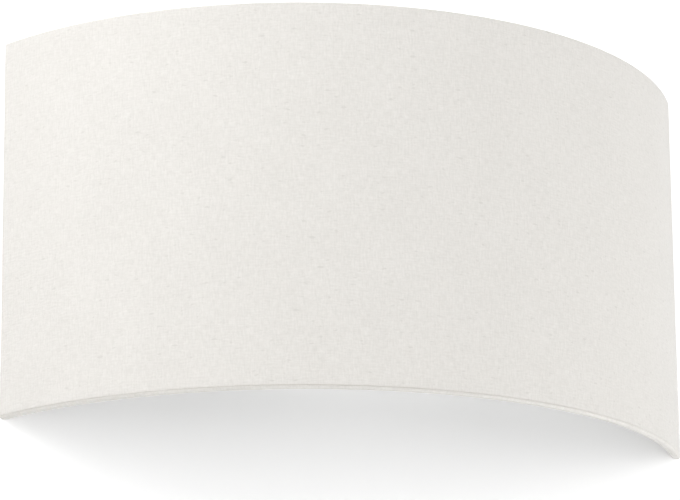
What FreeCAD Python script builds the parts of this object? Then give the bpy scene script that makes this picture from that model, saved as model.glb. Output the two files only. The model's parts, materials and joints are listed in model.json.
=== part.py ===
"""Half-drum fabric wall light: a cloth shade on a wire frame, hung on a flat wall bracket.

Millimetres. X runs along the wall, the light stands out towards -Y, and +Z is up.
The wall is the plane y = 0. The origin is the middle of the bracket's rear face,
which is also the middle of the shade's height.
"""

import FreeCAD, Part

import math
import os

V = FreeCAD.Vector
ALONG_X = V(1, 0, 0)
FORWARD = V(0, -1, 0)
UP = V(0, 0, 1)
DOWN = V(0, 0, -1)
SIDES = (("left", -1), ("right", 1))

# Shade: the plan is one circular arc whose chord lies on the wall.
shade_width = 350.0
shade_height = 190.0
shade_depth = 105.0
fabric_wall = 0.6
lining_wall = 0.4
glue_line = 0.15
frame_wire_d = 3.0
wire_slack = 0.1
hem_lip_height = 8.0

# Wall bracket: a flat strap with a threaded stud near each end.
bracket_height = 25.0
bracket_wall = 2.0
bracket_end_gap = 4.0
bracket_corner_r = 3.0
wall_slot_x = 80.0
wall_slot_length = 14.0
wall_slot_width = 5.0
stud_inset = 22.5
stud_d = 4.0
stud_length = 18.0
stud_chamfer = 0.5

# Hanger plates on the shade's frame, open at the bottom so the shade lifts off the studs.
hanger_height = 24.0
hanger_wall = 1.5
hanger_reach = 8.0
hanger_slot_clearance = 0.5
hanger_notch_gap = 0.5

# Thumb nuts and their washers.
washer_d = 9.0
washer_wall = 0.8
thread_clearance = 0.1
thumb_nut_d = 12.0
thumb_nut_length = 8.0
thumb_nut_collar_d = 8.0
thumb_nut_collar_length = 2.0
knurl_count = 20
knurl_r = 0.5

# Electrical cover: a pressed pan over the middle of the bracket.
cover_width = 110.0
cover_height = 116.0
cover_depth = 24.0
cover_wall = 1.2
cover_corner_r = 8.0
cover_front_r = 3.0
cover_notch_gap = 0.5
cover_screw_x = 42.0
cover_screw_d = 4.0
screw_hole_clearance = 0.2
pan_head_ratio = 2.0
pan_head_height = 2.4
driver_slot_width = 0.8
driver_slot_depth = 1.0

# Supply cable entry in the bracket, with its rubber bush.
entry_x = -30.0
entry_hole_r = 6.5
entry_bore_r = 4.5
bush_flange_r = 8.5
bush_flange_wall = 1.2

# Terminal block: three ways side by side.
way_pitch = 8.0
way_count = 3
block_height = 17.0
block_depth = 13.0
block_edge = 1.0
barrel_r = 2.6
barrel_length = 14.0
barrel_bore_r = 1.4
clamp_screw_r = 1.6
clamp_screw_length = 4.0
block_screw_r = 1.4
block_screw_x = 4.0

# Earth screw on the bracket.
earth_x = 28.0
earth_screw_r = 2.0
earth_head_r = 3.6
earth_head_height = 2.2
earth_tongue_wall = 0.8
earth_tongue_r = 4.0
earth_sleeve_r = 1.9
earth_sleeve_length = 6.0

# Lamp arm: an angle bracket on the front of the cover.
arm_width = 24.0
arm_wall = 2.0
arm_bend_r = 1.5
arm_leg_height = 38.0
lamp_reach = 60.0
arm_top_z = -56.0
rivet_x = 8.0
rivet_below_top = 8.0
rivet_r = 1.6
rivet_head_r = 3.0
rivet_head_height = 1.2

# Lampholder and its hollow threaded nipple.
nipple_r = 5.0
nipple_bore_r = 4.0
nipple_below = 8.0
nipple_above = 6.0
nut_across_flats = 14.0
nut_height = 3.0
tooth_washer_r = 7.5
tooth_washer_wall = 0.8
cap_r = 21.0
cap_height = 20.0
cap_wall = 2.0
cap_floor = 2.5
cap_fillet = 6.0
cap_side_hole_r = 4.5
cap_side_hole_above = 10.0
holder_r = 19.5
holder_height = 34.0
holder_wall = 2.0
holder_lip_wall = 2.0
holder_mouth_r = 15.2
holder_grip_count = 24
holder_grip_r = 0.7
holder_grip_length = 20.0
insert_clearance = 0.3
insert_height = 10.0
insert_chamfer = 1.0
insert_below_seam = 2.0
thread_shell_bore_r = 13.5
thread_shell_wall = 0.4
thread_shell_height = 22.0
contact_length = 9.0
contact_width = 5.0
contact_wall = 0.6
terminal_x = 7.0
terminal_width = 6.0
terminal_height = 11.0
terminal_screw_r = 1.5
terminal_screw_length = 2.5

# Screw-base lamp, 60 mm across and 108 mm long from its tip.
lamp_r = 30.0
lamp_length = 108.0
lamp_cap_r = 13.2
lamp_thread_rise = 0.35
lamp_thread_pitch = 3.6
lamp_thread_turns = 5
lamp_tip_r = 4.8
lamp_tip_height = 1.6
lamp_tip_round = 1.1
lamp_insulator_height = 2.4
lamp_insulator_r = 11.2
lamp_cap_bevel = 1.0
lamp_cap_height = 21.0
lamp_neck_r = 14.0
lamp_collar_below_globe = 17.0
lamp_shell_wall = 1.2
lamp_contact_gap = 0.2
board_wall = 1.6
board_clearance = 1.0
chip_count = 10
chip_ring_r = 13.0
chip_size = 2.8
chip_height = 0.7

# Inner wires.
wire_r = 1.1
wire_pair_x = 2.2
wire_bend_r = 5.0
wire_block_drop = 14.0

# Worked out from the sizes above.
arc_r = (shade_width**2 / 4 + shade_depth**2) / (2 * shade_depth)
arc_centre_y = arc_r - shade_depth
shade_top = shade_height / 2
shade_bottom = -shade_height / 2
wire_pocket = frame_wire_d + 2 * wire_slack
fabric_inner_r = arc_r - fabric_wall
lining_r = fabric_inner_r - glue_line
pocket_r = lining_r - lining_wall
hem_outer_r = pocket_r - wire_pocket
hem_inner_r = hem_outer_r - fabric_wall
frame_wire_arc_r = pocket_r - wire_pocket / 2
end_wire_y = -(fabric_wall + wire_pocket / 2)
end_wire_x = math.sqrt(frame_wire_arc_r**2 - (arc_centre_y - end_wire_y) ** 2)
stud_x = end_wire_x - stud_inset
bracket_half = math.sqrt(hem_inner_r**2 - arc_centre_y**2) - bracket_end_gap
hanger_front = -(bracket_wall + hanger_wall)
cover_front = -cover_depth
lamp_y = -lamp_reach
side_hole_z = arm_top_z + cap_side_hole_above
cap_top_z = arm_top_z + cap_height
insert_bottom_z = cap_top_z - insert_below_seam
insert_top_z = insert_bottom_z + insert_height
insert_r = holder_r - holder_wall - insert_clearance
lamp_tip_z = insert_top_z + contact_wall + lamp_contact_gap
block_y = -(bracket_wall + block_depth / 2)
terminal_bottom_z = insert_bottom_z - terminal_height


def box(x0, x1, y0, y1, z0, z1):
    """A block between two corners."""
    return Part.makeBox(x1 - x0, y1 - y0, z1 - z0, V(x0, y0, z0))


def cylinder(radius, length, base, direction):
    """A round bar from base along direction."""
    return Part.makeCylinder(radius, length, base, direction)


def tube(outer_r, inner_r, length, base, direction):
    """A round tube from base along direction."""
    return cylinder(outer_r, length, base, direction).cut(cylinder(inner_r, length, base, direction))


def turned(points, axis_y):
    """A solid of revolution about the vertical line x = 0, y = axis_y, from (radius, z) points."""
    outline = [V(radius, axis_y, z) for radius, z in points]
    face = Part.Face(Part.makePolygon(outline + outline[:1]))
    return face.revolve(V(0, axis_y, 0), UP, 360)


def curved_wall(inner_r, outer_r, z0, z1, y_back, y_front):
    """A vertical wall that follows the shade's arc, between two planes parallel to the wall."""
    base = V(0, arc_centre_y, z0)
    ring = tube(outer_r, inner_r, z1 - z0, base, UP)
    return ring.common(box(-outer_r, outer_r, y_front, y_back, z0, z1))


def hexagon(across_flats, height, base):
    """A hexagonal prism standing on base."""
    corner_r = across_flats / math.sqrt(3)
    corners = [
        base + V(corner_r * math.cos(i * math.pi / 3), corner_r * math.sin(i * math.pi / 3), 0)
        for i in range(7)
    ]
    return Part.Face(Part.makePolygon(corners)).extrude(UP * height)


def pan_head_screw(radius, length, seat):
    """A screw whose head sits on seat and whose shank runs back towards the wall."""
    head_r = radius * pan_head_ratio
    head = cylinder(head_r, pan_head_height, seat, FORWARD)
    rim = [edge for edge in head.Edges if abs(edge.BoundBox.YMin - (seat.y - pan_head_height)) < 0.01]
    head = head.makeFillet(pan_head_height / 2, rim[:1])
    face_y = seat.y - pan_head_height
    slot = box(
        seat.x - head_r,
        seat.x + head_r,
        face_y,
        face_y + driver_slot_depth,
        seat.z - driver_slot_width / 2,
        seat.z + driver_slot_width / 2,
    )
    return head.fuse(cylinder(radius, length, seat, FORWARD * -1)).cut(slot).removeSplitter()


def bent_wire(points, radius, bend_r):
    """A round wire along straight runs joined by tangent arcs."""
    edges = []
    start = points[0]
    for before, corner, after in zip(points, points[1:], points[2:]):
        into = (corner - before).normalize()
        out = (after - corner).normalize()
        half_turn = into.getAngle(out) / 2
        reach = bend_r * math.tan(half_turn)
        arc_start = corner - into * reach
        arc_end = corner + out * reach
        towards_centre = (out - into).normalize()
        centre = corner + towards_centre * (bend_r / math.cos(half_turn))
        middle = centre - towards_centre * bend_r
        edges.append(Part.LineSegment(start, arc_start).toShape())
        edges.append(Part.Arc(arc_start, middle, arc_end).toShape())
        start = arc_end
    edges.append(Part.LineSegment(start, points[-1]).toShape())
    path = Part.Wire(edges)
    section = Part.Wire([Part.makeCircle(radius, points[0], points[1] - points[0])])
    wire = path.makePipeShell([section], True, True)
    expected = math.pi * radius**2 * path.Length
    print(f"wire {path.Length:.1f} mm long, volume {wire.Volume:.1f}, section times length {expected:.1f}")
    return wire


# ---------------------------------------------------------------- shade


def shade_fabric():
    """The cloth skin, from hem fold to hem fold."""
    return curved_wall(
        fabric_inner_r, arc_r, shade_bottom + fabric_wall, shade_top - fabric_wall, 0, -shade_depth
    )


def shade_lining():
    """The stiff film that backs the cloth."""
    return curved_wall(
        pocket_r,
        lining_r,
        shade_bottom + fabric_wall,
        shade_top - fabric_wall,
        -fabric_wall,
        -shade_depth,
    )


def rolled_hem(edge_z, inwards):
    """The cloth turned over a ring wire: a flat fold at edge_z and a lip inside the shade."""
    fold_z = sorted((edge_z, edge_z + inwards * fabric_wall))
    lip_z = sorted((edge_z, edge_z + inwards * hem_lip_height))
    fold = curved_wall(hem_outer_r, arc_r, fold_z[0], fold_z[1], 0, -shade_depth)
    lip = curved_wall(hem_inner_r, hem_outer_r, lip_z[0], lip_z[1], 0, -shade_depth)
    return fold.fuse(lip).removeSplitter()


def side_hem(side):
    """The cloth turned over an end wire, notched where the hanger plate comes through."""
    half = curved_wall(
        hem_outer_r, lining_r, shade_bottom + fabric_wall, shade_top - fabric_wall, 0, -fabric_wall
    )
    lip = curved_wall(
        hem_inner_r,
        hem_outer_r,
        shade_bottom + hem_lip_height,
        shade_top - hem_lip_height,
        0,
        -hem_lip_height,
    )
    notch_half = hanger_height / 2 + hanger_notch_gap
    notch = box(
        -shade_width,
        shade_width,
        hanger_front - hanger_notch_gap,
        -bracket_wall + hanger_notch_gap,
        -notch_half,
        notch_half,
    )
    own_side = box(
        min(0, side * shade_width),
        max(0, side * shade_width),
        -shade_depth,
        shade_depth,
        -shade_height,
        shade_height,
    )
    return half.fuse(lip.cut(notch)).removeSplitter().common(own_side)


def ring_wire(edge_z, inwards):
    """A half ring of the frame, tucked into the rolled hem."""
    centre_z = edge_z + inwards * (fabric_wall + wire_pocket / 2)
    ring = Part.makeTorus(frame_wire_arc_r, frame_wire_d / 2, V(0, arc_centre_y, centre_z), UP)
    end_y = end_wire_y - frame_wire_d / 2
    front = box(-arc_r, arc_r, -arc_r, end_y, centre_z - frame_wire_d, centre_z + frame_wire_d)
    return ring.common(front)


def end_wire(side):
    """The upright wire at one end of the half rings."""
    inset = fabric_wall + wire_slack
    base = V(side * end_wire_x, end_wire_y, shade_bottom + inset)
    return cylinder(frame_wire_d / 2, shade_height - 2 * inset, base, UP)


def hanger_plate(side):
    """A plate welded to the end wire, slotted from below for the stud."""
    inner_x = stud_x - hanger_reach
    x0, x1 = sorted((side * inner_x, side * end_wire_x))
    plate = box(x0, x1, hanger_front, -bracket_wall, -hanger_height / 2, hanger_height / 2)
    slot_r = stud_d / 2 + hanger_slot_clearance
    slot_x = side * stud_x
    slot = cylinder(slot_r, hanger_wall, V(slot_x, -bracket_wall, 0), FORWARD)
    throat = box(
        slot_x - slot_r, slot_x + slot_r, hanger_front, -bracket_wall, -hanger_height / 2, 0
    )
    return plate.cut(slot.fuse(throat)).cut(end_wire(side))


# ---------------------------------------------------------------- wall bracket and cover


def wall_bracket():
    """The long strap that is screwed to the wall."""
    strap = box(
        -bracket_half,
        bracket_half,
        -bracket_wall,
        0,
        -bracket_height / 2,
        bracket_height / 2,
    )
    upright_edges = [
        edge for edge in strap.Edges if abs(edge.BoundBox.YLength - bracket_wall) < 0.001
    ]
    strap = strap.makeFillet(bracket_corner_r, upright_edges)
    holes = [
        (entry_x, entry_hole_r),
        (earth_x, earth_screw_r),
        (block_screw_x, block_screw_r),
        (-cover_screw_x, cover_screw_d / 2),
        (cover_screw_x, cover_screw_d / 2),
    ]
    holes += [(side * stud_x, stud_d / 2) for _, side in SIDES]
    for hole_x, hole_r in holes:
        strap = strap.cut(cylinder(hole_r, bracket_wall, V(hole_x, 0, 0), FORWARD))
    slot_r = wall_slot_width / 2
    half_run = wall_slot_length / 2 - slot_r
    for _, side in SIDES:
        middle = side * wall_slot_x
        strap = strap.cut(
            box(middle - half_run, middle + half_run, -bracket_wall, 0, -slot_r, slot_r)
        )
        for end in (-half_run, half_run):
            strap = strap.cut(cylinder(slot_r, bracket_wall, V(middle + end, 0, 0), FORWARD))
    return strap


def shade_studs():
    """Two threaded studs pressed into the bracket."""
    studs = []
    for _, side in SIDES:
        stud = cylinder(stud_d / 2, bracket_wall + stud_length, V(side * stud_x, 0, 0), FORWARD)
        tip_y = -(bracket_wall + stud_length)
        tip = [edge for edge in stud.Edges if edge.BoundBox.YMax < tip_y + 0.01]
        studs.append(stud.makeChamfer(stud_chamfer, tip))
    return Part.makeCompound(studs)


def electrical_cover():
    """The pressed pan over the terminals, open towards the wall."""
    half_w, half_h = cover_width / 2, cover_height / 2
    outer = box(-half_w, half_w, cover_front, 0, -half_h, half_h)
    outer_edges = [edge for edge in outer.Edges if abs(edge.BoundBox.YLength - cover_depth) < 0.001]
    outer = outer.makeFillet(cover_corner_r, outer_edges)
    front_edges = [edge for edge in outer.Edges if edge.BoundBox.YMax < cover_front + 0.01]
    outer = outer.makeFillet(cover_front_r, front_edges)
    inner = box(
        -half_w + cover_wall,
        half_w - cover_wall,
        cover_front + cover_wall,
        0,
        -half_h + cover_wall,
        half_h - cover_wall,
    )
    inner_depth = cover_depth - cover_wall
    inner_edges = [edge for edge in inner.Edges if abs(edge.BoundBox.YLength - inner_depth) < 0.001]
    inner = inner.makeFillet(cover_corner_r - cover_wall, inner_edges)
    inner_front_y = cover_front + cover_wall
    inner_front = [edge for edge in inner.Edges if edge.BoundBox.YMax < inner_front_y + 0.01]
    pan = outer.cut(inner.makeFillet(cover_front_r - cover_wall, inner_front))
    notch_half = bracket_height / 2 + cover_notch_gap
    pan = pan.cut(
        box(-half_w, half_w, -(bracket_wall + cover_notch_gap), 0, -notch_half, notch_half)
    )
    screw_hole_r = cover_screw_d / 2 + screw_hole_clearance
    holes = [(side * cover_screw_x, 0, screw_hole_r) for _, side in SIDES]
    holes += [(x, z, rivet_r) for x, z in rivet_places()]
    holes.append((0, side_hole_z, entry_hole_r))
    for hole_x, hole_z, hole_r in holes:
        pan = pan.cut(cylinder(hole_r, cover_wall, V(hole_x, cover_front + cover_wall, hole_z), FORWARD))
    return pan


def cover_screws():
    """Two screws through the cover into the bracket."""
    return Part.makeCompound(
        [
            pan_head_screw(cover_screw_d / 2, cover_depth, V(side * cover_screw_x, cover_front, 0))
            for _, side in SIDES
        ]
    )


def bush(y_back, y_front, x, z):
    """A rubber bush that lines a hole from y_back to y_front, with a flange on its front."""
    depth = y_back - y_front
    body = cylinder(entry_hole_r, depth, V(x, y_back, z), FORWARD)
    flange = cylinder(bush_flange_r, bush_flange_wall, V(x, y_front, z), FORWARD)
    bore = cylinder(entry_bore_r, depth + bush_flange_wall, V(x, y_back, z), FORWARD)
    return body.fuse(flange).cut(bore).removeSplitter()


def entry_bush():
    """The bush where the supply cable comes through the bracket."""
    return bush(0, -bracket_wall, entry_x, 0)


def lead_bush():
    """The bush where the lamp's wires leave the cover through the arm's leg."""
    return bush(cover_front + cover_wall, cover_front - arm_wall, 0, side_hole_z)


# ---------------------------------------------------------------- terminals and wires


def way_places():
    """The X of each way of the terminal block."""
    return [(i - (way_count - 1) / 2) * way_pitch for i in range(way_count)]


def terminal_block():
    """The insulated body, bored for its barrels, clamp screws and fixing screw."""
    half_x = way_count * way_pitch / 2
    y_back = -bracket_wall
    body = box(
        -half_x, half_x, y_back - block_depth, y_back, -block_height / 2, block_height / 2
    )
    front_edges = [
        edge for edge in body.Edges if edge.BoundBox.YMax < y_back - block_depth + 0.01
    ]
    body = body.makeChamfer(block_edge, front_edges)
    for x in way_places():
        body = body.cut(cylinder(barrel_r, block_height, V(x, block_y, -block_height / 2), UP))
        body = body.cut(cylinder(clamp_screw_r, block_depth, V(x, block_y, 0), FORWARD))
    return body.cut(
        cylinder(block_screw_r, block_depth, V(block_screw_x, y_back, 0), FORWARD)
    )


def terminal_barrels():
    """Three brass barrels, each bored for two wire ends and tapped for its clamp screws."""
    barrels = []
    for x in way_places():
        barrel = tube(barrel_r, barrel_bore_r, barrel_length, V(x, block_y, -barrel_length / 2), UP)
        barrel = barrel.cut(cylinder(clamp_screw_r, barrel_r, V(x, block_y, 0), FORWARD))
        barrels.append(barrel)
    return Part.makeCompound(barrels)


def clamp_screws():
    """The small screws that clamp the wires in the barrels."""
    screws = []
    for x in way_places():
        screw = cylinder(
            clamp_screw_r, clamp_screw_length, V(x, block_y - barrel_bore_r, 0), FORWARD
        )
        face_y = block_y - barrel_bore_r - clamp_screw_length
        slot = box(
            x - clamp_screw_r,
            x + clamp_screw_r,
            face_y,
            face_y + driver_slot_depth,
            -driver_slot_width / 2,
            driver_slot_width / 2,
        )
        screws.append(screw.cut(slot))
    return Part.makeCompound(screws)


def block_screw():
    """The screw that holds the terminal block to the bracket."""
    length = block_depth - clamp_screw_length + bracket_wall
    return cylinder(block_screw_r, length, V(block_screw_x, 0, 0), FORWARD)


def earth_tongue():
    """The ring tongue on the earth wire's end, with its crimped sleeve."""
    y_back = -bracket_wall
    ring = cylinder(earth_tongue_r, earth_tongue_wall, V(earth_x, y_back, 0), FORWARD)
    neck = box(
        earth_x - earth_sleeve_r,
        earth_x + earth_sleeve_r,
        y_back - earth_tongue_wall,
        y_back,
        -(earth_tongue_r + earth_sleeve_length),
        0,
    )
    sleeve_y = y_back - earth_tongue_wall - wire_r
    sleeve = cylinder(
        earth_sleeve_r, earth_sleeve_length, V(earth_x, sleeve_y, -earth_tongue_r), DOWN
    )
    front_of_bracket = box(
        earth_x - bracket_height, earth_x + bracket_height, -bracket_height, y_back,
        -bracket_height, bracket_height,
    )
    whole = ring.fuse([neck, sleeve.common(front_of_bracket)])
    whole = whole.cut(cylinder(wire_r, earth_sleeve_length, V(earth_x, sleeve_y, -earth_tongue_r), DOWN))
    return whole.cut(cylinder(earth_screw_r, bracket_wall, V(earth_x, y_back, 0), FORWARD)).removeSplitter()


def earth_screw():
    """The screw that clamps the ring tongue to the bracket."""
    seat_y = -(bracket_wall + earth_tongue_wall)
    head = cylinder(earth_head_r, earth_head_height, V(earth_x, seat_y, 0), FORWARD)
    shank = cylinder(earth_screw_r, -seat_y, V(earth_x, seat_y, 0), FORWARD * -1)
    face_y = seat_y - earth_head_height
    slot = box(
        earth_x - earth_head_r,
        earth_x + earth_head_r,
        face_y,
        face_y + driver_slot_depth,
        -driver_slot_width / 2,
        driver_slot_width / 2,
    )
    return head.fuse(shank).cut(slot).removeSplitter()


def lamp_wire(block_x, side):
    """A wire from one way of the block down inside the cover and forward into the lampholder."""
    pair_x = side * wire_pair_x
    end_x = side * terminal_x
    entry_z = -barrel_length / 2 + wire_r
    cap_back_y = lamp_y + cap_r
    points = [
        V(block_x, block_y, entry_z),
        V(block_x, block_y, entry_z - wire_block_drop),
        V(pair_x, block_y, side_hole_z),
        V(pair_x, cap_back_y - cap_wall, side_hole_z),
        V(end_x, lamp_y + 2 * wire_bend_r, side_hole_z),
        V(end_x, lamp_y, side_hole_z),
    ]
    return bent_wire(points, wire_r, wire_bend_r)


def earth_wire():
    """The wire from the block's last way to the earth tongue."""
    block_x = way_places()[-1]
    entry_z = -barrel_length / 2 + wire_r
    low_z = entry_z - wire_block_drop - 2 * wire_bend_r
    sleeve_y = -(bracket_wall + earth_tongue_wall + wire_r)
    sleeve_z = -(earth_tongue_r + earth_sleeve_length)
    points = [
        V(block_x, block_y, entry_z),
        V(block_x, block_y, low_z),
        V(earth_x, sleeve_y, low_z),
        V(earth_x, sleeve_y, sleeve_z + wire_r),
    ]
    return bent_wire(points, wire_r, wire_bend_r)


# ---------------------------------------------------------------- arm and lampholder


def rivet_places():
    """X and Z of the two rivets that hold the arm's leg to the cover."""
    top_z = arm_top_z - arm_wall + arm_leg_height
    return [(side * rivet_x, top_z - rivet_below_top) for _, side in SIDES]


def lamp_arm():
    """The angle bracket: a leg on the cover and a shelf with a rounded end under the lampholder."""
    half = arm_width / 2
    bottom_z = arm_top_z - arm_wall
    leg = box(-half, half, cover_front - arm_wall, cover_front, bottom_z, bottom_z + arm_leg_height)
    shelf = box(-half, half, lamp_y, cover_front, bottom_z, arm_top_z)
    nose = cylinder(half, arm_wall, V(0, lamp_y, bottom_z), UP)
    arm = leg.fuse([shelf, nose]).removeSplitter()
    bend_y, bend_z = cover_front, bottom_z
    outer_bend = [
        edge
        for edge in arm.Edges
        if abs(edge.BoundBox.YMax - bend_y) < 0.01
        and abs(edge.BoundBox.YMin - bend_y) < 0.01
        and abs(edge.BoundBox.ZMax - bend_z) < 0.01
    ]
    arm = arm.makeFillet(min(arm_bend_r, 0.9 * arm_wall), outer_bend)
    arm = arm.cut(cylinder(nipple_r, arm_wall, V(0, lamp_y, bottom_z), UP))
    arm = arm.cut(cylinder(entry_hole_r, arm_wall, V(0, cover_front, side_hole_z), FORWARD))
    for x, z in rivet_places():
        arm = arm.cut(cylinder(rivet_r, arm_wall, V(x, cover_front, z), FORWARD))
    return arm


def arm_rivets():
    """Two rivets through the arm's leg and the cover."""
    rivets = []
    for x, z in rivet_places():
        front_y = cover_front - arm_wall
        back_y = cover_front + cover_wall
        shank = cylinder(rivet_r, back_y - front_y, V(x, back_y, z), FORWARD)
        head = cylinder(rivet_head_r, rivet_head_height, V(x, front_y, z), FORWARD)
        tail = cylinder(rivet_head_r, rivet_head_height, V(x, back_y + rivet_head_height, z), FORWARD)
        rivets.append(shank.fuse([head, tail]).removeSplitter())
    return Part.makeCompound(rivets)


def hollow_nipple():
    """The threaded tube that clamps the lampholder to the arm."""
    bottom_z = arm_top_z - arm_wall - nipple_below
    length = nipple_below + arm_wall + nipple_above
    return tube(nipple_r, nipple_bore_r, length, V(0, lamp_y, bottom_z), UP)


def nipple_nuts():
    """A hexagon nut under the arm and another on the lampholder cap's floor."""
    under_z = arm_top_z - arm_wall - tooth_washer_wall - nut_height
    inside_z = arm_top_z + cap_floor
    nuts = []
    for z in (under_z, inside_z):
        nut = hexagon(nut_across_flats, nut_height, V(0, lamp_y, z))
        nuts.append(nut.cut(cylinder(nipple_r, nut_height, V(0, lamp_y, z), UP)))
    return Part.makeCompound(nuts)


def tooth_washer():
    """The toothed washer between the lower nut and the arm."""
    base = V(0, lamp_y, arm_top_z - arm_wall - tooth_washer_wall)
    return tube(tooth_washer_r, nipple_r, tooth_washer_wall, base, UP)


def lampholder_cap():
    """The cup that holds the terminals, with a side hole for the wires."""
    cup = cylinder(cap_r, cap_height, V(0, lamp_y, arm_top_z), UP)
    rim = [edge for edge in cup.Edges if edge.BoundBox.ZMax < arm_top_z + 0.01]
    cup = cup.makeFillet(cap_fillet, rim[:1])
    inner_r = cap_r - cap_wall
    hollow = cylinder(inner_r, cap_height, V(0, lamp_y, arm_top_z + cap_floor), UP)
    inner_rim = [edge for edge in hollow.Edges if edge.BoundBox.ZMax < arm_top_z + cap_floor + 0.01]
    cup = cup.cut(hollow.makeFillet(cap_fillet - cap_wall, inner_rim[:1]))
    cup = cup.cut(cylinder(nipple_r, cap_floor, V(0, lamp_y, arm_top_z), UP))
    return cup.cut(
        cylinder(cap_side_hole_r, cap_r, V(0, lamp_y + cap_r, side_hole_z), FORWARD)
    )


def lampholder_shell():
    """The outer barrel, ribbed for grip, with a lip round the lamp's neck."""
    barrel = cylinder(holder_r, holder_height, V(0, lamp_y, cap_top_z), UP)
    bore = cylinder(holder_r - holder_wall, holder_height - holder_lip_wall, V(0, lamp_y, cap_top_z), UP)
    mouth = cylinder(holder_mouth_r, holder_height, V(0, lamp_y, cap_top_z), UP)
    shell = barrel.cut(bore).cut(mouth)
    for i in range(holder_grip_count):
        turn = 2 * math.pi * i / holder_grip_count
        base = V(holder_r * math.cos(turn), lamp_y + holder_r * math.sin(turn), cap_top_z)
        shell = shell.cut(cylinder(holder_grip_r, holder_grip_length, base, UP))
    return shell


def lampholder_insert():
    """The ceramic disc that carries the contacts."""
    disc = cylinder(insert_r, insert_height, V(0, lamp_y, insert_bottom_z), UP)
    rim = [edge for edge in disc.Edges if edge.BoundBox.ZMax < insert_bottom_z + 0.01]
    return disc.makeChamfer(insert_chamfer, rim[:1])


def thread_shell():
    """The brass screw shell that the lamp turns into."""
    outer_r = thread_shell_bore_r + thread_shell_wall
    return tube(outer_r, thread_shell_bore_r, thread_shell_height, V(0, lamp_y, insert_top_z), UP)


def centre_contact():
    """The springy tongue under the lamp's tip."""
    half_l, half_w = contact_length / 2, contact_width / 2
    return box(
        -half_l,
        half_l,
        lamp_y - half_w,
        lamp_y + half_w,
        insert_top_z,
        insert_top_z + contact_wall,
    )


def holder_terminals():
    """Two brass terminals under the insert, bored for the wire ends."""
    half = terminal_width / 2
    terminals = []
    for _, side in SIDES:
        x = side * terminal_x
        block = box(x - half, x + half, lamp_y - half, lamp_y + half, terminal_bottom_z, insert_bottom_z)
        block = block.cut(cylinder(wire_r, half, V(x, lamp_y + half, side_hole_z), FORWARD))
        terminals.append(block)
    return Part.makeCompound(terminals)


def holder_terminal_screws():
    """The screws on the outer faces of the terminals."""
    screws = []
    for _, side in SIDES:
        face_x = side * (terminal_x + terminal_width / 2)
        base = V(face_x, lamp_y, side_hole_z)
        screws.append(cylinder(terminal_screw_r, terminal_screw_length, base, ALONG_X * side))
    return Part.makeCompound(screws)


# ---------------------------------------------------------------- lamp


def lamp_tip():
    """The solder button of the lamp's centre contact."""
    tip = cylinder(lamp_tip_r, lamp_tip_height, V(0, lamp_y, lamp_tip_z), UP)
    rim = [edge for edge in tip.Edges if edge.BoundBox.ZMax < lamp_tip_z + 0.01]
    return tip.makeFillet(lamp_tip_round, rim[:1])


def lamp_insulator():
    """The dark ring between the tip and the threaded cap."""
    low_z = lamp_tip_z + lamp_tip_height
    high_z = low_z + lamp_insulator_height
    return turned([(0, low_z), (lamp_tip_r, low_z), (lamp_insulator_r, high_z), (0, high_z)], lamp_y)


def lamp_cap():
    """The threaded metal cap, as rings of the thread's height and pitch."""
    z0 = lamp_tip_z + lamp_tip_height + lamp_insulator_height
    root_r = lamp_cap_r - lamp_thread_rise
    first_z = z0 + lamp_cap_bevel
    points = [(0, z0), (lamp_insulator_r, z0), (root_r, first_z)]
    for i in range(lamp_thread_turns):
        crest = first_z + (i + 0.5) * lamp_thread_pitch
        land = lamp_thread_pitch / 6
        points += [(lamp_cap_r, crest - land), (lamp_cap_r, crest + land)]
        points.append((root_r, crest + lamp_thread_pitch / 2))
    points += [(lamp_cap_r, z0 + lamp_cap_height), (0, z0 + lamp_cap_height)]
    return turned(points, lamp_y)


def lamp_heights():
    """Z where the cap ends, where the collar ends, and of the globe's centre."""
    neck_z = lamp_tip_z + lamp_tip_height + lamp_insulator_height + lamp_cap_height
    globe_z = lamp_tip_z + lamp_length - lamp_r
    return neck_z, globe_z - lamp_collar_below_globe, globe_z


def lamp_collar():
    """The flared plastic-coated heat sink between the cap and the globe."""
    neck_z, collar_z, globe_z = lamp_heights()
    top_r = math.sqrt(lamp_r**2 - (globe_z - collar_z) ** 2)
    outer = Part.Arc(
        V(lamp_neck_r, lamp_y, neck_z),
        V((lamp_neck_r + top_r) / 2 - 1, lamp_y, (neck_z + collar_z) / 2),
        V(top_r, lamp_y, collar_z),
    ).toShape()
    inner_top = V(top_r - 2 * lamp_shell_wall, lamp_y, collar_z)
    inner_low = V(lamp_neck_r - 2 * lamp_shell_wall, lamp_y, neck_z + lamp_shell_wall)
    axis_low = V(0, lamp_y, neck_z)
    edges = [
        outer,
        Part.LineSegment(V(top_r, lamp_y, collar_z), inner_top).toShape(),
        Part.LineSegment(inner_top, inner_low).toShape(),
        Part.LineSegment(inner_low, V(0, lamp_y, neck_z + lamp_shell_wall)).toShape(),
        Part.LineSegment(V(0, lamp_y, neck_z + lamp_shell_wall), axis_low).toShape(),
        Part.LineSegment(axis_low, V(lamp_neck_r, lamp_y, neck_z)).toShape(),
    ]
    return Part.Face(Part.Wire(edges)).revolve(V(0, lamp_y, 0), UP, 360)


def lamp_globe():
    """The opal diffuser: a hollow ball, open where it meets the collar."""
    _, collar_z, globe_z = lamp_heights()
    centre = V(0, lamp_y, globe_z)
    ball = Part.makeSphere(lamp_r, centre).cut(Part.makeSphere(lamp_r - lamp_shell_wall, centre))
    return ball.cut(box(-lamp_r, lamp_r, lamp_y - lamp_r, lamp_y + lamp_r, globe_z - lamp_r, collar_z))


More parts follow.
